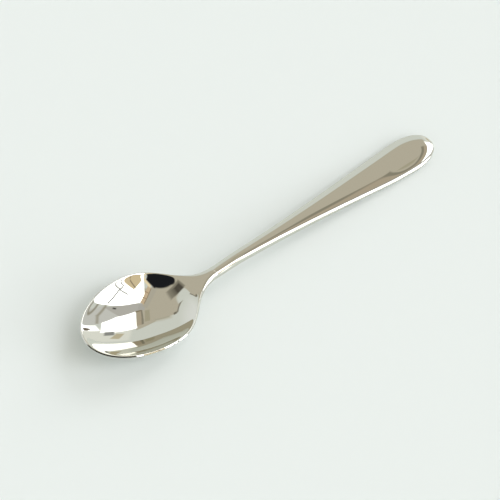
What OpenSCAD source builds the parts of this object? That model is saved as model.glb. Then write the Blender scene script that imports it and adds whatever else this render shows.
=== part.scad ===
// Teaspoon, forged and polished from one blank of stainless steel.
// It lies along X, with its tip at the left, on a table at Z = 0. The origin is halfway along it.
// Both sides of Y = 0 are the same. Places along the spoon are given as distances from the tip.
// The bowl, the neck and the handle are three stretches of one forging. They meet face to face.

/* [Overall] */
// Length from the tip of the bowl to the end of the handle
length = 140; // [130:1:155]

/* [Bowl] */
// Width across the rim at its widest place
bowl_w = 30.2; // [26:0.2:36]
// Distance from the tip to the widest place
bowl_widest = 22.4; // [18:0.1:25]
// Depth from the middle of the rim at the widest place to the middle of the floor at the deepest place
bowl_depth = 8; // [6.5:0.1:10]
// Thickness of the wall, measured square to it
bowl_t = 1.2; // [0.8:0.05:1.8]
// Rise of the rim from the widest place to the tip
tip_rise = 3.4; // [0:0.1:4.5]
// Height of the rim above the table at the heel, halfway from the widest place to the neck
heel_h = 5.9; // [5:0.1:8]
// Depth of the small flats that the spoon rests on, under the bowl and under the handle
rest_flat = 0.1; // [0.02:0.01:0.15]

/* [Neck] */
// Distance from the tip to the narrowest place of the neck
neck_at = 48.8; // [45:0.5:54]
// Width of the neck at its narrowest place
neck_w = 4.2; // [3.5:0.1:7]
// Thickness of the neck at its narrowest place
neck_t = 3.2; // [2.6:0.1:5]
// Height of the middle of the neck above the table
neck_h = 5.4; // [4:0.1:9]
// Distance from the tip to the top of the arch
arch_at = 56; // [54:0.5:70]
// Height of the middle of the handle above the table at the top of the arch
arch_h = 5.6; // [4:0.1:14]

/* [Handle] */
// Width of the handle at its widest place
handle_w = 13.7; // [10:0.2:18]
// Distance from the widest place to the end of the handle
end_l = 11.4; // [8:0.1:18]
// Thickness of the handle at its end
handle_t = 2.6; // [2:0.1:4]
// Length at the end of the handle that lies on the table
rest_l = 16; // [12:0.5:30]
// Length of each of the two bends between which the handle is straight, seen from the side
bend_l = 6; // [3:0.5:10]

/* [Hidden] */

// Fullness of the outline between the widest place of the bowl and the neck, at each end of the curve
belly_share = 0.54;
flare_share = 0.45;
// Fullness of the outline between the neck and the widest place of the handle, at each end of the curve
taper_share = 0.43;
swell_share = 0.15;
// Place of the heel and of the start of the thickening, between the widest place and the neck
heel_share = 0.5;
thicken_share = 0.45;
// How much fuller the bowl is than a parabola, and how much its depth leans from the tip towards the neck
fullness_share = 0.08;
lean_share = 0.31;
// How much thicker the handle is halfway along
mid_handle_share = 1.1;
// Roundness of the end of the handle: 2 is an ellipse, and more is squarer
end_power = 2.2;
// Roundness of the section: 2 is an ellipse, and more has a flatter face and rounder shoulders
neck_power = 2.3;
arch_power = 2.7;
handle_power = 5;

// Counts of steps along the outline, over the faces and around the edge
tip_steps = 16;
heel_steps = 20;
neck_steps = 10;
handle_steps = 24;
end_steps = 12;
face_steps = 8;
edge_steps = 10;
// Share of the handle's curve that belongs to the neck, and the crowding of points towards the middle
neck_curve_share = 0.3;
crowding = 1.35;
// The last turn of the edge before the flat faces begin
edge_turn = 75;

half_length = length / 2;
half_bowl = bowl_w / 2;
half_neck = neck_w / 2;
half_handle = handle_w / 2;
handle_widest = length - end_l;
floor_h = bowl_t / 2 - rest_flat;
rim_h = floor_h + bowl_depth;
end_h = handle_t / 2 - rest_flat;
heel_at = bowl_widest + heel_share * (neck_at - bowl_widest);
thicken_at = bowl_widest + thicken_share * (neck_at - bowl_widest);
rest_at = length - rest_l;
mid_handle_at = (arch_at + length) / 2;
fall = (end_h - arch_h) / (rest_at - arch_at - bend_l);

// Stations [place along the spoon, value] for curves that run smoothly from one to the next
edge_heights = [[0, rim_h + tip_rise], [bowl_widest, rim_h], [heel_at, heel_h], [neck_at, neck_h],
    [arch_at, arch_h], [arch_at + bend_l, arch_h + fall * bend_l / 2],
    [rest_at - bend_l, end_h - fall * bend_l / 2], [rest_at, end_h], [length, end_h]];
half_thicknesses = [[0, bowl_t / 2], [thicken_at, bowl_t / 2], [neck_at, neck_t / 2],
    [mid_handle_at, mid_handle_share * handle_t / 2], [rest_at, handle_t / 2], [length, handle_t / 2]];
powers = [[neck_at, neck_power], [arch_at, arch_power], [rest_at, handle_power], [length, handle_power]];

// A point at share t of a curve that leaves a and arrives at d
function bezier(a, b, c, d, t) =
    pow(1 - t, 3) * a + 3 * pow(1 - t, 2) * t * b + 3 * (1 - t) * t * t * c + pow(t, 3) * d;

// An S shaped stretch of outline that starts and ends in line with the spoon
function stretch(a, d, leave_share, arrive_share, t) =
    bezier(a, [a.x + leave_share * (d.x - a.x), a.y], [d.x - arrive_share * (d.x - a.x), d.y], d, t);

function widest_bowl() = [bowl_widest, half_bowl];
function waist() = [neck_at, half_neck];
function widest_handle() = [handle_widest, half_handle];

// The outline of one side, [place along the spoon, half width], from the tip to the end of the handle
outline = [
    for (i = [0 : tip_steps])
        let(a = 90 * i / tip_steps)
        [bowl_widest * (1 - cos(a)), half_bowl * sin(a)],
    for (i = [1 : heel_steps])
        stretch(widest_bowl(), waist(), belly_share, flare_share, i / heel_steps),
    for (i = [1 : neck_steps])
        stretch(waist(), widest_handle(), taper_share, swell_share, neck_curve_share * i / neck_steps),
    for (i = [1 : handle_steps])
        let(t = neck_curve_share + (1 - neck_curve_share) * i / handle_steps)
        stretch(waist(), widest_handle(), taper_share, swell_share, t),
    for (i = [1 : end_steps])
        let(a = 90 * i / end_steps)
        [handle_widest + end_l * pow(sin(a), 2 / end_power), half_handle * pow(cos(a), 2 / end_power)]
];
first_neck = tip_steps + heel_steps;
first_handle = first_neck + neck_steps;
last_row = len(outline) - 1;

// The slope of a curve through stations, at station k: level at a peak, at a dip and beside a level stretch
function slope_at(s, k) =
    let(a = s[max(k - 1, 0)], b = s[min(k + 1, len(s) - 1)])
    (s[k].y - a.y) * (b.y - s[k].y) <= 0 && k > 0 && k < len(s) - 1 ? 0 : (b.y - a.y) / (b.x - a.x);

// The value at place x of the smooth curve through stations
function along(s, x, k = 0) =
    k < len(s) - 2 && x > s[k + 1].x ? along(s, x, k + 1) :
    let(span = s[k + 1].x - s[k].x, t = min(max((x - s[k].x) / span, 0), 1))
    s[k].y * (1 + 2 * t) * pow(1 - t, 2) + s[k + 1].y * t * t * (3 - 2 * t)
    + span * (slope_at(s, k) * t * pow(1 - t, 2) - slope_at(s, k + 1) * t * t * (1 - t));

// From 1 in the bowl to 0 at the neck
function in_bowl(x) =
    let(t = min(max((x - heel_at) / (neck_at - heel_at), 0), 1))
    1 - t * t * (3 - 2 * t);

// 0 over the rim and more inside it, at x and y in a row whose outline is half_w away
function inside_rim(x, y, half_w) =
    x < bowl_widest ? 1 - pow(1 - x / bowl_widest, 2) - pow(y / half_bowl, 2) :
    (half_w * half_w - y * y) / (half_bowl * half_bowl);

// The same with the depth leaning towards the neck, and as a share of what it is at the deepest place
function lean(x) = in_bowl(x) * (1 + lean_share * (x / bowl_widest - 1));
deepest = max([for (p = outline) inside_rim(p.x, 0, p.y) * lean(p.x)]);
function openness(x, y, half_w) = max(inside_rim(x, y, half_w), 0) * lean(x) / deepest;

// Share of the full depth, and how steeply it falls away from the deepest place
function depth_share(m) = m * (1 + fullness_share * (1 - m));
function steepness(x, y, m) =
    2 * (1 + fullness_share * (1 - 2 * m)) * (along(edge_heights, x) - floor_h) * lean(x) / deepest
    * norm([max(bowl_widest - x, 0) / pow(bowl_widest, 2), y / pow(half_bowl, 2)]);

// A row runs from the spine of the spoon out to one point of the outline
function spine_x(p) = min(max(p.x, bowl_widest), handle_widest);
function power_of(p, reach) =
    p.x < neck_at ? max(2 * reach / along(half_thicknesses, p.x), neck_power) : along(powers, p.x);

// How far out the points of a row lie on the faces, and then how far around the edge from its top to its foot
function row_steps() = [
    for (j = [0 : face_steps - 1]) [pow(j / face_steps, crowding), 1],
    for (j = [0 : edge_steps]) [1, 1 - 2 * j / edge_steps],
    for (j = [face_steps - 1 : -1 : 0]) [pow(j / face_steps, crowding), -1]
];
row_len = len(row_steps());

// The points of one row: over the upper face, around the edge and back under the lower face
function row_points(p, side) =
    let(
        sx = spine_x(p),
        reach = norm([p.x - sx, p.y]),
        power = power_of(p, reach),
        face_u = pow(cos(edge_turn), 2 / power)
    )
    [for (s = row_steps())
        let(
            on_face = s[0] < 1,
            u = on_face ? face_u * s[0] : pow(cos(edge_turn * s[1]), 2 / power),
            x = sx + u * (p.x - sx),
            y = u * p.y,
            m = openness(x, y, p.y),
            edge_h = along(edge_heights, x),
            upright = norm([1, steepness(x, y, m)]),
            half_t = along(half_thicknesses, x) * upright * sqrt(max(1 - pow(u, power), 0)),
            middle_h = edge_h - (edge_h - floor_h) * depth_share(m)
        )
        [x, side * y, max(middle_h + sign(s[1]) * half_t, 0)]
    ];

// A closed solid between two rows of the outline
module forging(first, last) {
    rows = last - first;
    count = (rows + 1) * row_len;
    points = [
        for (side = [1, -1]) for (i = [first : last]) each row_points(outline[i], side)
    ];
    // Points on the spine belong to both sides, and rows that fan out share one point there
    function fan(i) = min(max(i, tip_steps), last_row - end_steps);
    function on_spine(j) = j == 0 || j == row_len - 1;
    function at_end(i) = i == 0 || i == last_row;
    function index(i, j, side) =
        on_spine(j) ? (fan(i) - first) * row_len + j :
        (side > 0 || at_end(i) ? 0 : count) + (i - first) * row_len + j;
    function triangle(a, b, c, side) = side > 0 ? [a, b, c] : [c, b, a];
    skin = [
        for (side = [1, -1]) for (i = [first : last - 1]) for (j = [0 : row_len - 2])
            let(a = index(i, j, side), b = index(i + 1, j, side))
            let(c = index(i + 1, j + 1, side), d = index(i, j + 1, side))
            each [
                if (a != b) triangle(a, b, c, side),
                if (c != d) triangle(a, c, d, side)
            ]
    ];
    // The flat section at row i, taken round from its widest point
    function section(i) =
        let(count = 2 * row_len - 2, start = face_steps + edge_steps / 2)
        [for (k = [0 : count - 1]) let(j = (start + k) % count)
            j < row_len ? index(i, j, 1) : index(i, count - j, -1)];
    function reversed(face) = [for (k = [len(face) : -1 : 1]) face[k % len(face)]];
    sections = [
        if (first > 0) section(first),
        if (last < last_row) reversed(section(last))
    ];
    translate([-half_length, 0, 0]) polyhedron(points, concat(skin, sections));
}

module bowl() {
    color("silver") forging(0, first_neck);
}

module neck() {
    color("lightgray") forging(first_neck, first_handle);
}

module handle() {
    color("silver") forging(first_handle, last_row);
}

bowl();
neck();
handle();
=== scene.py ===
# %% [markdown]
# # A teaspoon, forged from one blank of steel
#
# The spoon lies on a pale table under soft light from windows on one side. Its bowl, neck and handle are
# one forging, polished until it is a mirror. So two things make the picture: how smoothly the surface
# bends, and what stands around it to be reflected. The construction model is loaded first and stays as it
# is. Everything below is fitted to it, in metres, in the same frame.

# %% Load the construction model
from math import cos, radians, sin

import bmesh
import bpy
import numpy as np
from mathutils import Matrix, Vector


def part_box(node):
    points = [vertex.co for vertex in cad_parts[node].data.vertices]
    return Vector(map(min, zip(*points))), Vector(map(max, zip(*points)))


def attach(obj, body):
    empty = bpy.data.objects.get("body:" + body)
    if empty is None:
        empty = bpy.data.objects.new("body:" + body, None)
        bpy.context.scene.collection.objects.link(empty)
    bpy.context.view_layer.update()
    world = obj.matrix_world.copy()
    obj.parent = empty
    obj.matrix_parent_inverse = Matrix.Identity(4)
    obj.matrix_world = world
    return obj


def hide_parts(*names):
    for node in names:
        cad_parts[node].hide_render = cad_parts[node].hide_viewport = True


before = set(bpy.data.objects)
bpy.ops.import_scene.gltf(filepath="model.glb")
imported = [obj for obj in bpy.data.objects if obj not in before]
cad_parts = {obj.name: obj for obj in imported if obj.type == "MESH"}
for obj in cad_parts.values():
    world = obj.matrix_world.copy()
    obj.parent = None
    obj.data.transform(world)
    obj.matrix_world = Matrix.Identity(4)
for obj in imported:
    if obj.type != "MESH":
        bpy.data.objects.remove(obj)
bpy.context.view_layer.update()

# %% [markdown]
# ## The camera
#
# The camera stands over the table and looks down at about 57 degrees through a long lens, so the far end
# of the handle is hardly smaller than the bowl. A camera in Blender looks along its own -Z axis, with its
# own X to the right and its own Y up. So a matrix with those three directions as columns places it
# exactly, also the slight tilt of the horizon, where a constraint that tracks a target would always hold
# it level.

# %% Place the camera
turn = radians(36.07)
pitch = radians(56.83)
tilt = radians(-1.51)
aim = Vector((-0.00471, 0.00272, 0.0))
distance = 0.560

rightward = Vector((cos(turn), -sin(turn), 0))
farward = Vector((sin(turn), cos(turn), 0))
upward = farward * sin(pitch) + Vector((0, 0, cos(pitch)))
backward = Vector((0, 0, sin(pitch))) - farward * cos(pitch)

lens = bpy.data.cameras.new("camera")
lens.sensor_width = 36
lens.lens = 123.6
lens.clip_start = 0.01
camera = bpy.data.objects.new("camera", lens)
tilted_right = rightward * cos(tilt) + upward * sin(tilt)
tilted_up = upward * cos(tilt) - rightward * sin(tilt)
axes = Matrix((tilted_right, tilted_up, backward)).transposed()
camera.matrix_world = Matrix.Translation(aim + backward * distance) @ axes.to_4x4()
bpy.context.scene.collection.objects.link(camera)
bpy.context.scene.camera = camera
print("camera at", [round(v, 3) for v in camera.location])

# %% [markdown]
# ## The lines of the spoon
#
# A spoon maker's drawing has two views. The plan gives the outline, and the side view gives the height of
# the rim and of the handle and how thick the metal is. The drawing is in millimetres, and MM of them make
# one metre, Blender's unit. Each line of the side view is a list of stations, a place from the tip with
# its value, and a curve runs through them and a little beyond both ends. A mirror shows every jump in the
# bending of a surface as a kink in what it reflects, so each curve is also averaged over a few
# millimetres, which a polishing wheel does to the real one.

# %% Draw a smooth line through stations
MM = 1000
LENGTH, BEYOND, FINE = 140.0, 40.0, 0.05
places = np.arange(-BEYOND, LENGTH + BEYOND, FINE)


def line_through(stations, ease):
    """The values at `places` of a smooth curve through stations, averaged over about `ease` mm."""
    x, y = np.array(stations, float).T
    steps = np.diff(y) / np.diff(x)
    slopes = np.concatenate([steps[:1], (y[2:] - y[:-2]) / (x[2:] - x[:-2]), steps[-1:]])
    slopes[1:-1][steps[1:] * steps[:-1] <= 0] = 0
    k = np.clip(np.searchsorted(x, places) - 1, 0, len(x) - 2)
    span = x[k + 1] - x[k]
    t = np.clip((places - x[k]) / span, 0, 1)
    values = y[k] * (1 + 2 * t) * (1 - t) ** 2 + y[k + 1] * t * t * (3 - 2 * t)
    values += span * (slopes[k] * t * (1 - t) ** 2 - slopes[k + 1] * t * t * (1 - t))
    values += slopes[0] * np.minimum(places - x[0], 0) + slopes[-1] * np.maximum(places - x[-1], 0)
    around = np.arange(-3 * ease, 3 * ease + FINE, FINE)
    weights = np.exp(-0.5 * (around / ease) ** 2)
    margin = len(around) // 2
    padded = np.pad(values, margin, mode="reflect", reflect_type="odd")
    return np.convolve(padded, weights / weights.sum(), mode="same")[margin:][:len(places)]


print("lines of", len(places), "places that are", FINE, "mm apart")

# %% [markdown]
# These are the spoon's own sizes in millimetres, the same as in the construction model: a bowl 30.2 mm
# wide, a neck 4.2 mm wide and a handle that widens to 13.7 mm. The rim falls from the tip to the heel.
# Behind a low arch the handle falls in a straight line between two short bends, and its end lies level on
# the table. Where the spoon rests, use has worn a small flat.

# %% Set the spoon's sizes
BOWL_WIDEST, BOWL_HALF, BOWL_DEPTH, WALL = 22.4, 15.1, 8.0, 1.2
NECK_AT, NECK_HALF, NECK_THICK, NECK_HIGH = 48.8, 2.1, 3.2, 5.4
HANDLE_WIDEST, HANDLE_HALF, HANDLE_THICK = 128.6, 6.85, 2.6
FLAT = 0.1
FLOOR = WALL / 2 - FLAT
RIM, TIP_RISE = FLOOR + BOWL_DEPTH, 3.4
HEEL_AT, HEEL_HIGH = BOWL_WIDEST + 0.5 * (NECK_AT - BOWL_WIDEST), 5.9
REST = HANDLE_THICK / 2 - FLAT
THICKER_FROM = 34.3
SHANK_AT, SHANK_HALF_THICK = 98, 0.55 * HANDLE_THICK
print("rim from", round(RIM + TIP_RISE, 2), "mm at the tip to", round(NECK_HIGH, 2), "mm at the neck")

# %% [markdown]
# Three lines run along the spoon. The first is the height of the edge. The second is half the thickness,
# which grows from the wall of the bowl to the neck and shrinks again along the handle. The third says how
# round a section is: 2 is an oval, and the higher the number, the more it is a slab with full edges.

# %% Draw the side view
ARCH_AT, ARCH_HIGH, REST_AT, BEND = 56, 5.6, 124, 6
FALL = (REST - ARCH_HIGH) / (REST_AT - ARCH_AT - BEND)
OVAL, FULL_OVAL, SLAB = 2.3, 2.7, 5.0

edge_height = line_through(
    [(0, RIM + TIP_RISE), (BOWL_WIDEST, RIM), (HEEL_AT, HEEL_HIGH), (NECK_AT, NECK_HIGH),
     (ARCH_AT, ARCH_HIGH), (ARCH_AT + BEND, ARCH_HIGH + FALL * BEND / 2),
     (REST_AT - BEND, REST - FALL * BEND / 2), (REST_AT, REST), (LENGTH, REST)], ease=2.0)
half_thickness = line_through(
    [(0, WALL / 2), (THICKER_FROM, WALL / 2), (NECK_AT, NECK_THICK / 2), (SHANK_AT, SHANK_HALF_THICK),
     (REST_AT, HANDLE_THICK / 2), (LENGTH, HANDLE_THICK / 2)], ease=1.5)
roundness = line_through(
    [(NECK_AT, OVAL), (ARCH_AT, FULL_OVAL), (REST_AT, SLAB), (LENGTH, SLAB)], ease=2.0)
print("the handle falls", round(-FALL, 3), "mm in each millimetre")

# %% [markdown]
# The outline is seen from above. A quarter of an ellipse makes the tip, and two long S curves lead from
# the bowl to the neck and from the neck to the widest place of the handle. The S curves are Bezier curves
# whose handles lie along the spoon, so they leave and arrive without a corner.

# %% Draw the outline from above
def s_curve(start, end, leave, arrive, t):
    """Points of a Bezier curve from start to end whose handles lie along the spoon."""
    (x0, y0), (x1, y1) = start, end
    a, b, c, d = (1 - t) ** 3, 3 * t * (1 - t) ** 2, 3 * t * t * (1 - t), t ** 3
    x = a * x0 + b * (x0 + leave * (x1 - x0)) + c * (x1 - arrive * (x1 - x0)) + d * x1
    return x, (a + b) * y0 + (c + d) * y1


share = np.linspace(0, 1, 400)
heel_x, heel_y = s_curve((BOWL_WIDEST, BOWL_HALF), (NECK_AT, NECK_HALF), leave=0.54, arrive=0.45, t=share)
shank_x, shank_y = s_curve((NECK_AT, NECK_HALF), (HANDLE_WIDEST, HANDLE_HALF), leave=0.43, arrive=0.15,
                           t=share)


def half_width(x):
    """Half the width at places between the widest place of the bowl and that of the handle."""
    return np.interp(x, np.concatenate([heel_x, shank_x[1:]]), np.concatenate([heel_y, shank_y[1:]]))


print("half width at the heel", round(float(half_width(HEEL_AT)), 2), "mm")

# %% [markdown]
# ## One closed skin
#
# The forging could be carved out of a box, but a box's corners would leave knots in the mirror. A ball has
# none. So the blank is a ball cut in half, the halves drawn apart and joined by straight strips, like a
# long bead. One half becomes the tip, the other the end of the handle, and the strips become everything
# between. The ball's rings become outlines inside each other, its equator becomes the edge, and its poles
# lie flat in the middle of the faces.

# %% Draw a ball apart into a blank
SECTORS, RINGS, APART = 128, 104, 1.0
ROWS = [64, 56, 64]

blank = bmesh.new()
bmesh.ops.create_uvsphere(blank, u_segments=SECTORS, v_segments=RINGS, radius=1.0)
right_half = [f for f in blank.faces if f.calc_center_median().x > 0]
split_off = bmesh.ops.split(blank, geom=right_half)["geom"]
moved = [v for v in split_off if isinstance(v, bmesh.types.BMVert)]
bmesh.ops.translate(blank, vec=(APART, 0, 0), verts=moved)
bmesh.ops.bridge_loops(blank, edges=[e for e in blank.edges if e.is_boundary])
strips = [e for e in blank.edges if abs(e.verts[0].co.x - e.verts[1].co.x) > 0.9 * APART]
bmesh.ops.subdivide_edges(blank, edges=strips, cuts=sum(ROWS) - 1, use_grid_fill=True)
bmesh.ops.recalc_face_normals(blank, faces=blank.faces[:])
print("blank with", len(blank.faces), "faces, open edges:", sum(e.is_boundary for e in blank.edges))

# %% [markdown]
# ## Press and forge it
#
# Every point of the blank knows two things: which row of the outline it belongs to, and how far it is
# round the section, from the middle of the upper face over the edge to the middle of the lower face. The
# next cell turns the first into a place along the outline. The rows between the halves are shared out so
# that one row falls exactly on each place where the construction model changes from bowl to neck and from
# neck to handle. The end of the handle is a little fuller than an ellipse, which its power of 2.2 gives.

# %% Find each point's place on the outline
END_POWER = 2.2
TINY = 1e-6
seams = [LENGTH / 2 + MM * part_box("neck")[0].x, LENGTH / 2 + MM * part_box("neck")[1].x]
row_at = np.concatenate([[0], np.cumsum(ROWS)]) / sum(ROWS)
place_at = np.array([BOWL_WIDEST, *seams, HANDLE_WIDEST])

points = np.array([v.co for v in blank.verts])
turned = np.degrees(np.arcsin(np.clip(points[:, 2], -1, 1)))
side = np.where(points[:, 1] < 0, -1.0, 1.0)
tip_angle = np.arctan2(np.abs(points[:, 1]), np.maximum(-points[:, 0], 0))
end_angle = np.arctan2(np.maximum(points[:, 0] - APART, 0), np.abs(points[:, 1]))
in_tip, in_end = points[:, 0] < -TINY, points[:, 0] > APART + TINY

spine = np.interp(points[:, 0], row_at, place_at)
edge_x, edge_y = spine.copy(), half_width(spine)
edge_x[in_tip] = BOWL_WIDEST * (1 - np.cos(tip_angle[in_tip]))
edge_y[in_tip] = BOWL_HALF * np.sin(tip_angle[in_tip])
edge_x[in_end] = HANDLE_WIDEST + (LENGTH - HANDLE_WIDEST) * np.sin(end_angle[in_end]) ** (2 / END_POWER)
edge_y[in_end] = HANDLE_HALF * np.cos(end_angle[in_end]) ** (2 / END_POWER)
reach = np.hypot(edge_x - spine, edge_y)
print("seams at", [round(s, 2) for s in seams], "mm from the tip")

# %% [markdown]
# The second thing becomes the share of the way out from the spine to the edge, and a height above or
# below the middle of the metal. The section is a rounded slab: almost flat over the faces and turning
# quickly at the edge. Three quarters of the rings lie on the faces, and the last quarter goes round the
# edge, because the edge bends most.

# %% Find each point's place in the section
def value(line, x):
    """The value at places x of a line made by line_through."""
    return np.interp(x, places, line)


EDGE_TURN, FACE_SHARE = 75, 0.75
power = np.where(edge_x < NECK_AT, np.maximum(2 * reach / value(half_thickness, edge_x), OVAL),
                 value(roundness, edge_x))
outward = 1 - np.abs(turned) / 90
on_face = np.clip(outward / FACE_SHARE, 0, 1)
round_edge = EDGE_TURN * np.clip((1 - outward) / (1 - FACE_SHARE), 0, 1)
face_end = np.cos(np.radians(EDGE_TURN)) ** (2 / power)
way_out = np.where(outward < FACE_SHARE, face_end * on_face, np.cos(np.radians(round_edge)) ** (2 / power))
way_out = np.where(np.abs(points[:, 2]) < TINY, 1.0, way_out)
x = spine + way_out * (edge_x - spine)
y = way_out * edge_y
print("power of the section from", round(float(power.min()), 1), "to", round(float(power.max()), 1))

# %% [markdown]
# Next comes the pressing. A die pushes the bowl down between rim and floor, and its depth is a smooth hill
# upside down: full at the deepest place and nothing at the rim. The deepest place leans a little from the
# widest place towards the neck, and there the pressing fades out, which makes the heel. The wall keeps its
# thickness square to the surface, so on a steep wall it is taller than it is thick.

# %% Press the bowl and set every height
FULLNESS, LEAN = 0.08, 0.31


def fading(x, start, end):
    """1 up to the start, 0 from the end on, and a smooth S between them."""
    t = np.clip((x - start) / (end - start), 0, 1)
    return 1 - t * t * (3 - 2 * t)


def pressing(x):
    """How far the die presses at places x: it leans towards the neck and fades out at the heel."""
    return fading(x, HEEL_AT, NECK_AT) * (1 + LEAN * (x / BOWL_WIDEST - 1))


deepest = ((heel_y / BOWL_HALF) ** 2 * pressing(heel_x)).max()
pressed = pressing(x) / deepest
openness = np.where(x < BOWL_WIDEST, 1 - (1 - x / BOWL_WIDEST) ** 2 - (y / BOWL_HALF) ** 2,
                    (edge_y ** 2 - y ** 2) / BOWL_HALF ** 2)
openness = np.maximum(openness, 0) * pressed
rim = value(edge_height, x)
depth = (rim - FLOOR) * openness * (1 + FULLNESS * (1 - openness))
slope = 2 * (rim - FLOOR) * (1 + FULLNESS * (1 - 2 * openness)) * pressed
slope *= np.hypot(np.maximum(BOWL_WIDEST - x, 0) / BOWL_WIDEST ** 2, y / BOWL_HALF ** 2)
half = value(half_thickness, x) * np.hypot(1, slope) * np.sqrt(np.maximum(1 - way_out ** power, 0))
z = np.maximum(rim - depth + np.sign(turned) * half, 0)
print("bowl pressed", round(float(depth.max()), 2), "mm deep")

# %% [markdown]
# The rim is ground: after pressing, the outer corner of its upper side is taken off at a slant, about half
# a millimetre wide. It is only a hairline in the picture, but it faces the camera along the near side, so
# it draws a dark line there on one side and a white one on the other. A ground face is a height that the
# metal may not pass, and where the two meet a softened minimum leaves a small round instead of a knife
# edge. The slant is steeper where the metal is thicker, which keeps the ground face as narrow there, and
# it fades out along the heel.

# %% Grind the outer corner of the rim
GROUND_SLOPE, GROUND_ROUND, GROUND_END = 0.84, 0.02, NECK_AT - 4
inward = (1 - way_out) * reach
ground = rim + GROUND_SLOPE * inward * value(half_thickness, x) / (WALL / 2)
lower_of_both = -GROUND_ROUND * np.logaddexp(-z / GROUND_ROUND, -ground / GROUND_ROUND)
taken = fading(x, HEEL_AT, GROUND_END) * (z - lower_of_both)
taken = np.where(turned > -TINY, taken, 0)
z -= taken
print("ground away at most", round(float(taken.max()), 2), "mm")

# %% [markdown]
# Now the points of the blank move to their places.

# %% Move the blank's points
shaped = np.stack([x - LENGTH / 2, side * y, z], 1) / MM
for vert, place in zip(blank.verts, shaped):
    vert.co = place
bmesh.ops.recalc_face_normals(blank, faces=blank.faces[:])
blank.normal_update()
print("forging from", shaped.min(0).round(4), "to", shaped.max(0).round(4))

# %% [markdown]
# ## Three named stretches without a seam
#
# The construction model has the bowl, the neck and the handle as three solids, so the picture has three
# pieces of the same names. If each were shaded by itself, the mirror would break where they meet. So each
# point's normal, the direction that the surface faces there, is kept from the whole forging, and the
# pieces get those normals back after they are cut apart and closed.

# %% Cut the forging into its named pieces
facing = {tuple(v.co): v.normal.copy() for v in blank.verts}


def cut_out(name, low, high):
    """The forging between two places in millimetres from the tip, closed and shaded as one with it."""
    piece = blank.copy()
    middle = {f: MM * f.calc_center_median().x + LENGTH / 2 for f in piece.faces}
    others = [f for f in piece.faces if not low < middle[f] < high]
    bmesh.ops.delete(piece, geom=others, context="FACES")
    skin = len(piece.faces)
    bmesh.ops.holes_fill(piece, edges=[e for e in piece.edges if e.is_boundary], sides=0)
    bmesh.ops.recalc_face_normals(piece, faces=piece.faces[:])
    caps = [f for f in piece.faces if len(f.verts) > 4]
    mesh = bpy.data.meshes.new(name)
    normals = []
    for face in piece.faces:
        face.smooth = True
        for vert in face.verts:
            normals.append(face.normal.copy() if face in caps else facing[tuple(vert.co)])
    piece.to_mesh(mesh)
    mesh.normals_split_custom_set(normals)
    still_open = sum(e.is_boundary for e in piece.edges)
    print(name, "has", skin, "faces and", len(caps), "caps; open edges:", still_open)
    piece.free()
    made = bpy.data.objects.new(name, mesh)
    bpy.context.scene.collection.objects.link(made)
    return made


BEFORE_TIP, PAST_END = -1, LENGTH + 1
bowl = cut_out("spoon_bowl", BEFORE_TIP, seams[0])
neck = cut_out("spoon_neck", seams[0], seams[1])
handle = cut_out("spoon_handle", seams[1], PAST_END)
blank.free()
for piece, node in ((bowl, "bowl"), (neck, "neck"), (handle, "handle")):
    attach(piece, "root")
    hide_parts(node)

# %% [markdown]
# ## Polished steel
#
# Stainless steel reflects about two thirds of the light, a little less of the blue, which gives it its
# warm grey. A metal is a Principled shader with Metallic at 1. Its colour is what it does to a reflection.
# A material is a tree of nodes, and two helpers make its groups and its nodes.

# %% Write helpers for node groups and nodes
def new_group(name, inputs, outputs):
    """An empty shader node group with these named inputs and outputs."""
    group = bpy.data.node_groups.new(name, "ShaderNodeTree")
    for label, kind, default in inputs:
        socket = group.interface.new_socket(label, in_out="INPUT", socket_type=kind)
        if default is not None:
            socket.default_value = default
    for label, kind in outputs:
        group.interface.new_socket(label, in_out="OUTPUT", socket_type=kind)
    return group, group.nodes.new("NodeGroupInput"), group.nodes.new("NodeGroupOutput")


def add(tree, kind, links=None, **settings):
    """A new node in a tree, with its settings, and its inputs linked from sockets or set to values."""
    node = tree.nodes.new(kind)
    for key, setting in settings.items():
        setattr(node, key, setting)
    for key, source in (links or {}).items():
        if isinstance(source, bpy.types.NodeSocket):
            tree.links.new(source, node.inputs[key])
        else:
            node.inputs[key].default_value = source
    return node


print("helpers ready")

# %% [markdown]
# Even a mirror polish isn't perfect: fingers leave smudges that blur it slightly, and wiping leaves
# hairlines. Both only change the roughness and the bump by a little, so they come from one node group that
# gives a roughness and a height. The smudges are a soft noise. The hairlines are a noise that is squeezed
# across the spoon, so they run along it.

# %% Make the group for wear on a polish
wear, given, result = new_group(
    "wear_on_polish",
    [("Place", "NodeSocketVector", None), ("Smudge size", "NodeSocketFloat", 60.0),
     ("Clean roughness", "NodeSocketFloat", 0.02), ("Smudged roughness", "NodeSocketFloat", 0.05),
     ("Hairlines", "NodeSocketFloat", 1.0)],
    [("Roughness", "NodeSocketFloat"), ("Height", "NodeSocketFloat")])
smudges = add(wear, "ShaderNodeTexNoise",
              {"Vector": given.outputs["Place"], "Scale": given.outputs["Smudge size"], "Detail": 4.0,
               "Roughness": 0.6})
smudged = add(wear, "ShaderNodeMapRange",
              {"Value": smudges.outputs["Fac"], "From Min": 0.42, "From Max": 0.68,
               "To Min": given.outputs["Clean roughness"], "To Max": given.outputs["Smudged roughness"]})
combed = add(wear, "ShaderNodeMapping", {"Vector": given.outputs["Place"], "Scale": (90.0, 2600.0, 2600.0)})
hairs = add(wear, "ShaderNodeTexNoise", {"Vector": combed.outputs["Vector"], "Scale": 1.0, "Detail": 2.0})
height = add(wear, "ShaderNodeMath", {0: hairs.outputs["Fac"], 1: given.outputs["Hairlines"]},
             operation="MULTIPLY")
wear.links.new(smudged.outputs["Result"], result.inputs["Roughness"])
wear.links.new(height.outputs["Value"], result.inputs["Height"])
print("group", wear.name, "puts out", [s.name for s in wear.interface.items_tree if s.in_out == "OUTPUT"])

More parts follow.
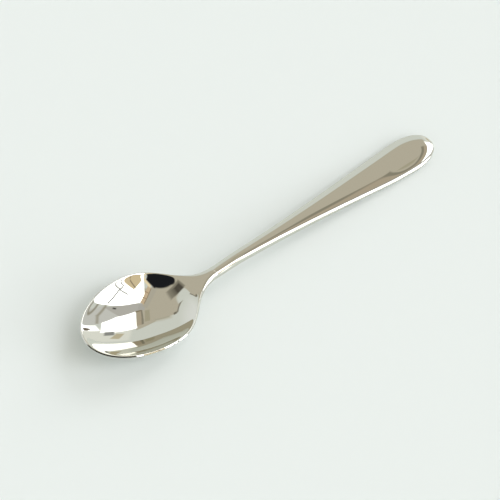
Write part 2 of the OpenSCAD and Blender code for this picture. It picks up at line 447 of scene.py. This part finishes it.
# %% [markdown]
# The bowl and the handle share one recipe. The handle is touched most, so its smudges are stronger, and
# the neck is polished together with it.

# %% Make the steel
STEEL = (0.70, 0.69, 0.62, 1.0)


def polished_steel(name, smudge_size, smudged_roughness, hairlines):
    """A mirror polish with faint smudges and hairlines."""
    made = bpy.data.materials.new(name)
    made.use_nodes = True
    tree = made.node_tree
    shader = tree.nodes["Principled BSDF"]
    shader.inputs["Base Color"].default_value = STEEL
    shader.inputs["Metallic"].default_value = 1.0
    where = add(tree, "ShaderNodeTexCoord")
    worn = add(tree, "ShaderNodeGroup", node_tree=wear)
    tree.links.new(where.outputs["Object"], worn.inputs["Place"])
    worn.inputs["Smudge size"].default_value = smudge_size
    worn.inputs["Smudged roughness"].default_value = smudged_roughness
    worn.inputs["Hairlines"].default_value = hairlines
    bump = add(tree, "ShaderNodeBump",
               {"Height": worn.outputs["Height"], "Strength": 0.02, "Distance": 0.00001})
    tree.links.new(worn.outputs["Roughness"], shader.inputs["Roughness"])
    tree.links.new(bump.outputs["Normal"], shader.inputs["Normal"])
    return made


bowl_steel = polished_steel("steel_of_the_bowl", smudge_size=70.0, smudged_roughness=0.035, hairlines=0.6)
handle_steel = polished_steel("steel_of_the_handle", smudge_size=90.0, smudged_roughness=0.045,
                              hairlines=1.0)
bowl.data.materials.append(bowl_steel)
neck.data.materials.append(handle_steel)
handle.data.materials.append(handle_steel)
print("steel reflects", STEEL[:3])

# %% [markdown]
# ## The table
#
# A pale painted board. It has to be large, because the spoon reflects it right up to the horizon. The
# paint is matt and has no sheen, so only the shadows of the spoon lie on it.

# %% Make the table
TABLE_RADIUS = 3.0
PALE = (0.806, 0.847, 0.823, 1.0)

board = bmesh.new()
bmesh.ops.create_circle(board, cap_ends=True, segments=96, radius=TABLE_RADIUS)
table_mesh = bpy.data.meshes.new("table")
board.to_mesh(table_mesh)
board.free()
table = bpy.data.objects.new("table", table_mesh)
bpy.context.scene.collection.objects.link(table)

paint = bpy.data.materials.new("pale_paint")
paint.use_nodes = True
coat = paint.node_tree.nodes["Principled BSDF"].inputs
coat["Base Color"].default_value = PALE
coat["Roughness"].default_value = 0.8
coat["Specular IOR Level"].default_value = 0.0
table.data.materials.append(paint)
print("table of", 2 * TABLE_RADIUS, "m across")

# %% [markdown]
# ## The room around it
#
# A mirror has no look of its own, so the surroundings are the other half of the finish. Real cards and
# lamps would stand in the way of a camera that looks from another side. The world behind everything can
# hold them instead: a direction is turned into a place on a round map, with straight up in the middle and
# the horizon at 90 degrees from it, and soft-edged cards are laid on that map one over the other.

# %% Make the map of directions
sky_map, given, result = new_group("map_of_directions", [("Direction", "NodeSocketVector", None)],
                                   [("Place", "NodeSocketVector")])
faced = add(sky_map, "ShaderNodeVectorRotate", {"Vector": given.outputs["Direction"], "Angle": turn},
            rotation_type="Z_AXIS")
parts = add(sky_map, "ShaderNodeSeparateXYZ", {"Vector": faced.outputs["Vector"]})
from_top = add(sky_map, "ShaderNodeMath", {0: parts.outputs["Z"]}, operation="ARCCOSINE")
degrees = add(sky_map, "ShaderNodeMath", {0: from_top.outputs["Value"]}, operation="DEGREES")
level = add(sky_map, "ShaderNodeVectorMath", {0: faced.outputs["Vector"], 1: (1, 1, 0)},
            operation="MULTIPLY")
level = add(sky_map, "ShaderNodeVectorMath", {0: level.outputs["Vector"]}, operation="NORMALIZE")
spot = add(sky_map, "ShaderNodeVectorMath", {0: level.outputs["Vector"], "Scale": degrees.outputs["Value"]},
           operation="SCALE")
sky_map.links.new(spot.outputs["Vector"], result.inputs["Place"])
print("map of directions ready")

# %% [markdown]
# A card is a rectangle on the map with its own middle, half size, turn, softness, colour and strength. It
# covers what was there before.

# %% Make the card
card, given, result = new_group(
    "card",
    [("Below", "NodeSocketColor", None), ("Place", "NodeSocketVector", None),
     ("Middle", "NodeSocketVector", None), ("Half size", "NodeSocketVector", None),
     ("Turn", "NodeSocketFloat", 0.0), ("Softness", "NodeSocketFloat", 3.0),
     ("Colour", "NodeSocketColor", None), ("Strength", "NodeSocketFloat", 1.0)],
    [("Colour", "NodeSocketColor")])
offset = add(card, "ShaderNodeVectorMath", {0: given.outputs["Place"], 1: given.outputs["Middle"]},
             operation="SUBTRACT")
turned_back = add(card, "ShaderNodeMath", {0: given.outputs["Turn"], 1: -1.0}, operation="MULTIPLY")
upright = add(card, "ShaderNodeVectorRotate",
              {"Vector": offset.outputs["Vector"], "Angle": turned_back.outputs["Value"]},
              rotation_type="Z_AXIS")
folded = add(card, "ShaderNodeVectorMath", {0: upright.outputs["Vector"]}, operation="ABSOLUTE")
beyond = add(card, "ShaderNodeVectorMath", {0: folded.outputs["Vector"], 1: given.outputs["Half size"]},
             operation="SUBTRACT")
sides = add(card, "ShaderNodeSeparateXYZ", {"Vector": beyond.outputs["Vector"]})
outside = add(card, "ShaderNodeMath", {0: sides.outputs["X"], 1: sides.outputs["Y"]}, operation="MAXIMUM")
soft_low = add(card, "ShaderNodeMath", {0: given.outputs["Softness"], 1: -1.0}, operation="MULTIPLY")
cover = add(card, "ShaderNodeMapRange",
            {"Value": outside.outputs["Value"], "From Min": soft_low.outputs["Value"],
             "From Max": given.outputs["Softness"], "To Min": 1.0, "To Max": 0.0},
            interpolation_type="SMOOTHSTEP")
lit = add(card, "ShaderNodeVectorMath", {0: given.outputs["Colour"], "Scale": given.outputs["Strength"]},
          operation="SCALE")
laid = add(card, "ShaderNodeMix", data_type="RGBA", clamp_factor=True)
card.links.new(cover.outputs["Result"], laid.inputs[0])
card.links.new(given.outputs["Below"], laid.inputs[6])
card.links.new(lit.outputs["Vector"], laid.inputs[7])
card.links.new(laid.outputs[2], result.inputs["Colour"])
print("card ready")

# %% [markdown]
# The room has a warm grey ceiling, pale walls on the left and far away, and two tall windows with wooden
# frames on the right, with grey wall between them. It is dark behind the camera. Each card is a name, then
# its middle, half size, turn, softness, colour and strength. The places are degrees on the map, to the
# right of the camera and away from it, and the turn is in degrees too. First come the walls and the
# ceiling, whose left edge has steps and a dark beam.

# %% Lay out the walls and the ceiling
CEILING = (0.61, 0.57, 0.48)
NIGHT = (0.015, 0.016, 0.020)
WALLS_AND_CEILING = [
    ("left wall", (-72, 20), (22, 50), 0, 8, (0.93, 0.96, 0.98), 1.0),
    ("dark band on the left", (-35, -33), (38, 9), -32, 2, (0.03, 0.03, 0.028), 1.0),
    ("soft edge of the ceiling", (-10, 8), (24, 28), 0, 5, (0.66, 0.64, 0.56), 1.0),
    ("ceiling", (-6, 1), (28, 30), 3, 2, CEILING, 1.0),
    ("first step of the ceiling", (-30.7, 11.9), (8, 12), 25, 0.8, CEILING, 1.0),
    ("second step of the ceiling", (-33, 22), (9, 8), -5, 0.8, CEILING, 1.0),
    ("far edge of the ceiling", (-12, 31.5), (19, 1.5), 2, 1.5, (0.53, 0.51, 0.42), 1.0),
    ("edge of the far corner", (7, 36), (14, 8), 33, 1.2, (0.53, 0.50, 0.41), 1.0),
    ("far corner of the ceiling", (7.3, 35), (14, 7.8), 33, 1.2, CEILING, 1.0),
    ("dark edge on the left", (-42, 22), (0.8, 8), 0, 0.5, (0.30, 0.28, 0.24), 1.0),
    ("dark corner on the left", (-39, 29), (2, 2.5), 10, 0.8, (0.24, 0.22, 0.18), 1.0),
    ("beam", (-29, -10), (4.5, 9), 33, 2, (0.30, 0.28, 0.23), 1.0),
    ("dark side of the beam", (-32, -9), (2.5, 7), 33, 2, (0.10, 0.09, 0.075), 1.0),
    ("low dark band behind", (3, -50), (28, 8), 0, 1.5, NIGHT, 1.0),
    ("far wall", (42, 64), (24, 18), 15, 3, (0.95, 0.97, 0.93), 1.0),
]
print(len(WALLS_AND_CEILING), "cards for the walls and the ceiling")

# %% [markdown]
# The windows give most of the light. The near one is the brighter, and together with a low opening behind
# the camera it makes the table as bright as it is. The far one is seen twice in the bowl, and it still has
# to be white in its second reflection, where the steel has taken its share of the light twice.

# %% Lay out the windows and the wall between them
SKY = (0.98, 1.0, 1.05)
NEAR_SKY, FAR_SKY = 4.3, 2.7
WINDOWS = [
    ("low opening behind", (55, -58), (16, 10), -36, 3, SKY, NEAR_SKY),
    ("far lower pane", (62, 54), (6, 6), 40, 1.5, SKY, FAR_SKY),
    ("dark mark on the pane", (62.5, 57), (2.5, 3), 0, 0.7, (0.22, 0.18, 0.14), 1.0),
    ("far window", (40.9, 32.2), (18.6, 21.5), 21.5, 1.0, SKY, FAR_SKY),
    ("tan block under the far window", (31, 64.5), (4.5, 7), 0, 1.0, (0.66, 0.60, 0.45), 1.0),
    ("grey block under the far window", (42, 59), (4.5, 5), 25, 1.2, (0.35, 0.36, 0.36), 1.0),
    ("wall between the windows", (46.6, 7.6), (22, 10), 27.7, 0.8, (0.60, 0.59, 0.58), 1.0),
    ("paler foot of that wall", (68.9, 29.5), (20, 12), 60, 0.8, (0.74, 0.75, 0.75), 1.0),
    ("upper line on that wall", (67, 13), (1.1, 13), -3, 1.2, (0.44, 0.42, 0.35), 1.0),
    ("far line on that wall", (64.7, 33), (1.1, 8), 20, 1.2, (0.48, 0.46, 0.40), 1.0),
    ("lower line on that wall", (73.5, 14), (0.7, 20), -1, 0.6, (0.40, 0.38, 0.32), 1.0),
    ("near window", (54.5, -20.5), (33, 20), 13, 1.0, SKY, NEAR_SKY),
]
print(len(WINDOWS), "cards for the windows and the wall between them")

# %% [markdown]
# A window that shone right up to the ceiling would look like a lamp. The wooden frames and their dark
# joints, and a blind half drawn over the near window, tell that it is a window.

# %% Lay out the frames
FAR_FRAME = [
    ("far frame", (19.3, 24.5), (3.8, 15.8), 18.7, 0.7, (0.54, 0.47, 0.37), 1.0),
    ("joint along the far frame", (15.6, 23.5), (1.3, 15.5), 18.7, 0.6, (0.33, 0.31, 0.25), 1.0),
    ("board over the far frame", (8, 20), (4.3, 12.5), 11, 0.8, (0.50, 0.47, 0.36), 1.0),
    ("joint across the far frame", (24.5, 9), (5, 1.3), 18, 0.6, (0.30, 0.25, 0.17), 1.0),
    ("top of the wall between", (21.5, 1.5), (6, 6), 0, 1.0, (0.56, 0.55, 0.54), 1.0),
]
WOOD_JOINT = (0.45, 0.33, 0.22)
BLIND = (0.84, 0.70, 0.47)
NEAR_FRAME = [
    ("board over the near frame", (8.7, -13.3), (5.5, 17), -27.5, 0.8, (0.57, 0.54, 0.47), 1.0),
    ("near frame", (16.8, -17), (4.3, 13.5), -25, 0.8, (0.76, 0.60, 0.43), 1.0),
    ("joint along the near frame", (13.0, -16), (0.8, 12.5), -25, 0.5, (0.40, 0.33, 0.24), 1.0),
    ("first joint across", (15.5, -22.5), (4, 0.6), -20, 0.4, WOOD_JOINT, 1.0),
    ("second joint across", (19, -14), (4, 0.6), -20, 0.4, WOOD_JOINT, 1.0),
    ("blind", (47.7, -32.7), (8.9, 6.5), -16.4, 0.8, BLIND, 1.0),
    ("corner of the blind", (39.1, -35.1), (9.2, 6.5), 45, 0.8, BLIND, 1.0),
    ("fold of the blind", (44, -30), (6.5, 0.8), -30, 0.5, (0.35, 0.28, 0.20), 1.0),
    ("lit end of the near frame", (17.3, -34.9), (9, 1.8), -31, 1.0, (1.10, 0.94, 0.66), 1.0),
]
print(len(FAR_FRAME), "cards for the far frame and", len(NEAR_FRAME), "for the near one")

# %% [markdown]
# Last come the small marks: two thin lines and a ring before the near window, and a dark spot on the wall
# between. The dark behind the camera covers the near end of everything, so it is laid over the rest.

# %% Lay out the marks and the dark behind the camera
MARKS_AND_DARK = [
    ("line along the near window", (62.5, -12.5), (0.9, 14), -14.5, 0.5, (0.35, 0.36, 0.36), 1.0),
    ("ring", (61.5, -24.5), (4.2, 3.2), -20, 0.5, (0.55, 0.56, 0.54), 1.0),
    ("sky in the ring", (61.5, -24.5), (2.2, 1.4), -20, 0.4, SKY, NEAR_SKY),
    ("line across it", (54, -18.2), (7, 0.9), -22, 0.5, (0.55, 0.56, 0.56), 1.0),
    ("dark spot", (57, 6), (1.8, 1.2), 0, 1.0, (0.05, 0.05, 0.04), 1.0),
    ("dark behind on the left", (-15.1, -36.1), (15.3, 13), -18, 1.2, NIGHT, 1.0),
    ("dark behind", (3.5, -43.7), (11.5, 13), -31, 1.2, NIGHT, 1.0),
]
print(len(MARKS_AND_DARK), "cards for the marks and the dark")

# %% [markdown]
# The cards are laid over the colour of the table, one after the other. The steel sees that same pale
# colour wherever there is no card.

# %% Lay the cards on the map
world = bpy.data.worlds.new("room")
world.use_nodes = True
bpy.context.scene.world = world
tree = world.node_tree
heading = add(tree, "ShaderNodeTexCoord")
mapped = add(tree, "ShaderNodeGroup", node_tree=sky_map)
tree.links.new(heading.outputs["Generated"], mapped.inputs["Direction"])
below = None
ROOM = WALLS_AND_CEILING + WINDOWS + FAR_FRAME + NEAR_FRAME + MARKS_AND_DARK
for name, middle, half_size, card_turn, softness, colour, strength in ROOM:
    laid = add(tree, "ShaderNodeGroup", node_tree=card, label=name)
    if below is None:
        laid.inputs["Below"].default_value = PALE
    else:
        tree.links.new(below, laid.inputs["Below"])
    tree.links.new(mapped.outputs["Place"], laid.inputs["Place"])
    laid.inputs["Middle"].default_value = (*middle, 0)
    laid.inputs["Half size"].default_value = (*half_size, 0)
    laid.inputs["Turn"].default_value = radians(card_turn)
    laid.inputs["Softness"].default_value = softness
    laid.inputs["Colour"].default_value = (*colour, 1.0)
    laid.inputs["Strength"].default_value = strength
    below = laid.outputs["Colour"]
print("room with", len(ROOM), "cards")

# %% [markdown]
# The camera itself sees no card beyond the table, only a plain backdrop of the table's own colour. A
# Light Path node tells the two kinds of ray apart.

# %% Show a plain backdrop to the camera
ray = add(tree, "ShaderNodeLightPath")
room_light = tree.nodes["Background"]
tree.links.new(below, room_light.inputs["Color"])
plain = add(tree, "ShaderNodeBackground", {"Color": PALE, "Strength": 1.0})
chosen = add(tree, "ShaderNodeMixShader",
             {0: ray.outputs["Is Camera Ray"], 1: room_light.outputs["Background"],
              2: plain.outputs["Background"]})
tree.links.new(chosen.outputs["Shader"], tree.nodes["World Output"].inputs["Surface"])
bpy.context.scene.view_settings.view_transform = "Standard"
print("backdrop", PALE[:3])
